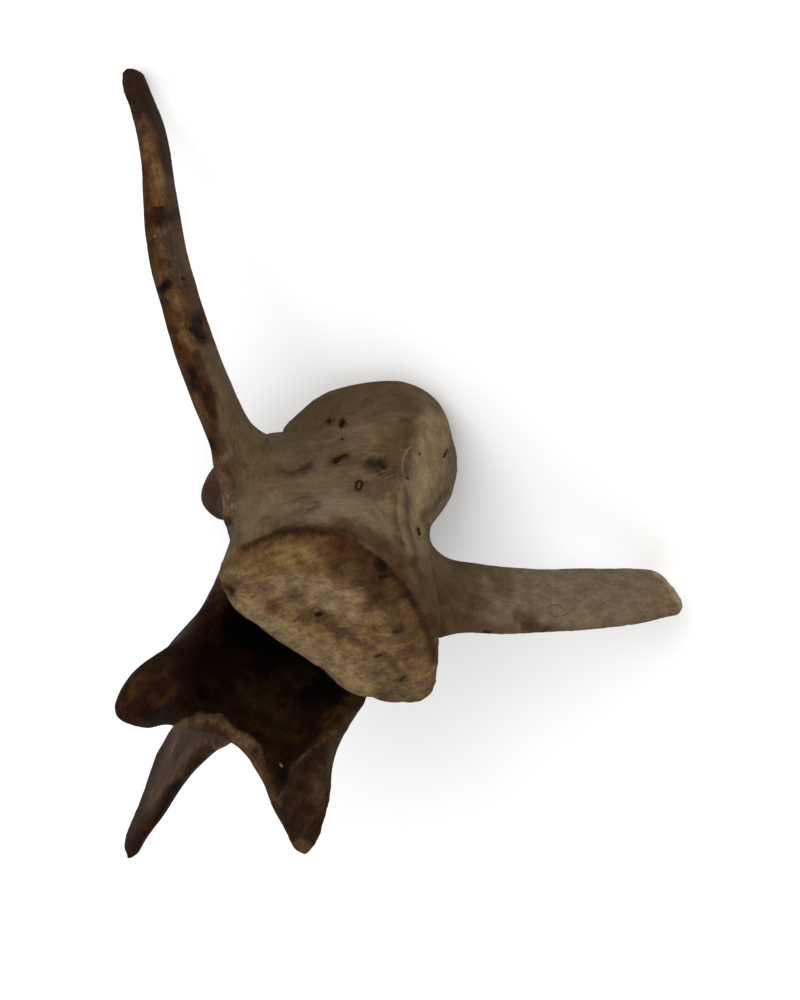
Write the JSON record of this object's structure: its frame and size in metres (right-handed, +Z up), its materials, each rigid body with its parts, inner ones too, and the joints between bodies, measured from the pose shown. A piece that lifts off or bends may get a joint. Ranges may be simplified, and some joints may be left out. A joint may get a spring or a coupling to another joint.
{
  "type": "deer lumbar vertebra",
  "caption": "Weathered lumbar vertebra of a deer with a bean-shaped body, an open canal, a long curved side process, a broken one and a plate-like spine.",
  "frame": {"origin": "on the ground, under the middle of the resting bone's outline seen from above", "axes": "+Z up, against the bone's run from its front end, which rests on the ground, to its rear face, which looks up; +X to the animal's right, along the long side process; +Y towards the animal's back, where the spine is"},
  "size_m": [0.09, 0.076, 0.0489],
  "materials": {
    "bone": "dry weathered bone, taupe grey with brown stains"
  },
  "bodies": {
    "root": {"vertebra": "bone"}
  },
  "joints": []
}
